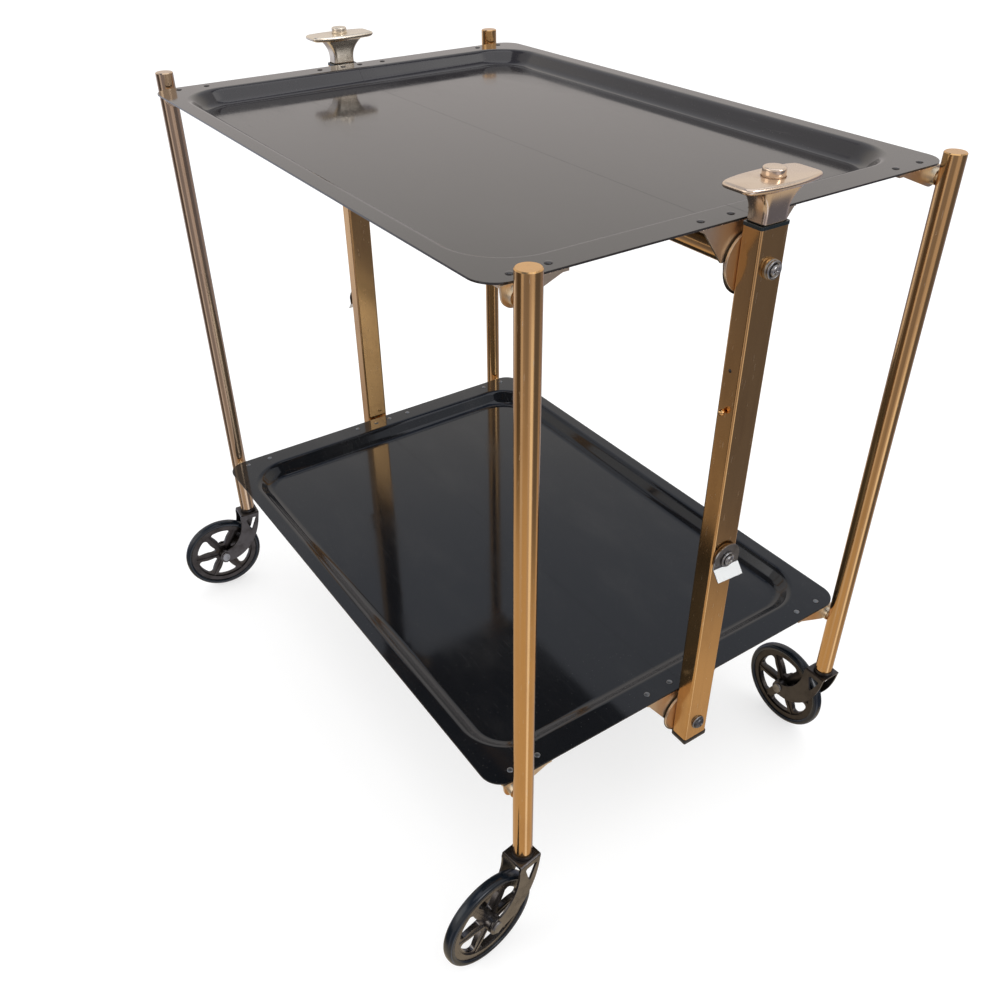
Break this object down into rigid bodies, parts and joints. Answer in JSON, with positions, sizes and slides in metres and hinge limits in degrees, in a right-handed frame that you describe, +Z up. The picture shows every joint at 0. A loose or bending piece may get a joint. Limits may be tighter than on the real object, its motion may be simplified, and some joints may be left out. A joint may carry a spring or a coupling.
{
  "type": "room service table",
  "caption": "Folding serving trolley with an upper and a lower tray that split along the middle, a handled bar at each end, round legs and swivel casters.",
  "frame": {"origin": "on the floor under the middle of the trolley", "axes": "X along the trays' length with the handle that is nearer in the picture at +X, Y across the trays, Z up"},
  "size_m": [0.6964, 0.5925, 0.689],
  "materials": {
    "tube": "satin gold anodised",
    "handle": "polished pale nickel-brass",
    "bracket": "satin gold anodised",
    "upper_tray": "glossy warm grey",
    "lower_tray": "glossy blue-black",
    "gasket": "matt black",
    "black_plastic": "matt black",
    "fork": "dark bronze-grey metal",
    "wheel": "dark grey metal",
    "tyre": "smooth blue-black",
    "steel": "bright plated steel",
    "spring": "plain wire"
  },
  "bodies": {
    "centre_frame": {"centre_bars": "tube", "cross_tubes": "tube", "handles": "handle", "bar_gaskets": "gasket", "bar_end_caps": "black_plastic", "hinge_discs": "tube", "hinge_washers": "black_plastic", "clasp_pins": "steel", "button_spring_near": "spring", "button_spring_far": "spring"},
    "half_upper_left": {"tray_upper_left": "upper_tray", "brackets_upper_left": "bracket"},
    "half_upper_right": {"tray_upper_right": "upper_tray", "brackets_upper_right": "bracket"},
    "half_lower_left": {"tray_lower_left": "lower_tray", "brackets_lower_left": "bracket"},
    "half_lower_right": {"tray_lower_right": "lower_tray", "brackets_lower_right": "bracket"},
    "button_near": {"push_button_near": "handle", "release_rod_near": "steel"},
    "clasp_near": {"leg_clasp_near": "steel"},
    "button_far": {"push_button_far": "handle", "release_rod_far": "steel"},
    "clasp_far": {"leg_clasp_far": "steel"},
    "leg_body_near_left": {"leg_near_left": "tube"},
    "caster_near_left": {"caster_fork_near_left": "fork"},
    "wheel_body_near_left": {"wheel_near_left": "wheel", "tyre_near_left": "tyre"},
    "leg_body_near_right": {"leg_near_right": "tube"},
    "caster_near_right": {"caster_fork_near_right": "fork"},
    "wheel_body_near_right": {"wheel_near_right": "wheel", "tyre_near_right": "tyre"},
    "leg_body_far_left": {"leg_far_left": "tube"},
    "caster_far_left": {"caster_fork_far_left": "fork"},
    "wheel_body_far_left": {"wheel_far_left": "wheel", "tyre_far_left": "tyre"},
    "leg_body_far_right": {"leg_far_right": "tube"},
    "caster_far_right": {"caster_fork_far_right": "fork"},
    "wheel_body_far_right": {"wheel_far_right": "wheel", "tyre_far_right": "tyre"}
  },
  "joints": [
    {"name": "fold_upper_left", "type": "hinge", "parent": "centre_frame", "child": "half_upper_left", "pos_m": [0, 0, 0.6205], "axis": [-1, 0, 0], "range_deg": [-90, 0]},
    {"name": "fold_upper_right", "type": "hinge", "parent": "centre_frame", "child": "half_upper_right", "pos_m": [0, 0, 0.6205], "axis": [1, 0, 0], "range_deg": [-90, 0]},
    {"name": "fold_lower_left", "type": "hinge", "parent": "centre_frame", "child": "half_lower_left", "pos_m": [0, 0, 0.1595], "axis": [-1, 0, 0], "range_deg": [-90, 0]},
    {"name": "fold_lower_right", "type": "hinge", "parent": "centre_frame", "child": "half_lower_right", "pos_m": [0, 0, 0.1595], "axis": [1, 0, 0], "range_deg": [-90, 0]},
    {"name": "leg_hinge_near_left", "type": "hinge", "parent": "half_upper_left", "child": "leg_body_near_left", "pos_m": [0.325, -0.2023, 0.644], "axis": [1, 0, 0], "range_deg": [-90, 0]},
    {"name": "swivel_near_left", "type": "hinge", "parent": "leg_body_near_left", "child": "caster_near_left", "pos_m": [0.325, -0.2023, 0.11], "axis": [0, 0, 1], "continuous": true},
    {"name": "wheel_spin_near_left", "type": "hinge", "parent": "caster_near_left", "child": "wheel_body_near_left", "pos_m": [0.33105, -0.24538, 0.0505], "axis": [0.9903, 0.1392, 0], "continuous": true},
    {"name": "leg_hinge_near_right", "type": "hinge", "parent": "half_upper_right", "child": "leg_body_near_right", "pos_m": [0.325, 0.2023, 0.644], "axis": [-1, 0, 0], "range_deg": [-90, 0]},
    {"name": "swivel_near_right", "type": "hinge", "parent": "leg_body_near_right", "child": "caster_near_right", "pos_m": [0.325, 0.2023, 0.11], "axis": [0, 0, -1], "continuous": true},
    {"name": "wheel_spin_near_right", "type": "hinge", "parent": "caster_near_right", "child": "wheel_body_near_right", "pos_m": [0.28151, 0.20306, 0.0505], "axis": [-0.0175, -0.9998, 0], "continuous": true},
    {"name": "leg_hinge_far_left", "type": "hinge", "parent": "half_upper_left", "child": "leg_body_far_left", "pos_m": [-0.325, -0.2023, 0.644], "axis": [1, 0, 0], "range_deg": [-90, 0]},
    {"name": "swivel_far_left", "type": "hinge", "parent": "leg_body_far_left", "child": "caster_far_left", "pos_m": [-0.325, -0.2023, 0.11], "axis": [0, 0, 1], "continuous": true},
    {"name": "wheel_spin_far_left", "type": "hinge", "parent": "caster_far_left", "child": "wheel_body_far_left", "pos_m": [-0.32879, -0.24563, 0.0505], "axis": [0.9962, -0.0872, 0], "continuous": true},
    {"name": "leg_hinge_far_right", "type": "hinge", "parent": "half_upper_right", "child": "leg_body_far_right", "pos_m": [-0.325, 0.2023, 0.644], "axis": [-1, 0, 0], "range_deg": [-90, 0]},
    {"name": "swivel_far_right", "type": "hinge", "parent": "leg_body_far_right", "child": "caster_far_right", "pos_m": [-0.325, 0.2023, 0.11], "axis": [0, 0, -1], "continuous": true},
    {"name": "wheel_spin_far_right", "type": "hinge", "parent": "caster_far_right", "child": "wheel_body_far_right", "pos_m": [-0.33105, 0.24538, 0.0505], "axis": [-0.9903, -0.1392, 0], "continuous": true},
    {"name": "button_press_near", "type": "slide", "parent": "centre_frame", "child": "button_near", "axis": [0, 0, -1], "range_m": [0, 0.005], "stiffness_N_per_m": 800, "springref_m": -0.004, "deforming": ["button_spring_near"]},
    {"name": "clasp_turn_near", "type": "hinge", "parent": "centre_frame", "child": "clasp_near", "pos_m": [0.335, 0, 0.364], "axis": [1, 0, 0], "range_deg": [-90, 90]},
    {"name": "button_press_far", "type": "slide", "parent": "centre_frame", "child": "button_far", "axis": [0, 0, -1], "range_m": [0, 0.005], "stiffness_N_per_m": 800, "springref_m": -0.004, "deforming": ["button_spring_far"]},
    {"name": "clasp_turn_far", "type": "hinge", "parent": "centre_frame", "child": "clasp_far", "pos_m": [-0.335, 0, 0.364], "axis": [1, 0, 0], "range_deg": [-90, 90]}
  ],
  "couplings": [
    {"joint": "fold_upper_right", "follows": "fold_upper_left", "ratio": 1},
    {"joint": "fold_lower_left", "follows": "fold_upper_left", "ratio": 1},
    {"joint": "fold_lower_right", "follows": "fold_upper_left", "ratio": 1},
    {"joint": "leg_hinge_near_left", "follows": "fold_upper_left", "ratio": 1},
    {"joint": "leg_hinge_near_right", "follows": "fold_upper_left", "ratio": 1},
    {"joint": "leg_hinge_far_left", "follows": "fold_upper_left", "ratio": 1},
    {"joint": "leg_hinge_far_right", "follows": "fold_upper_left", "ratio": 1}
  ]
}
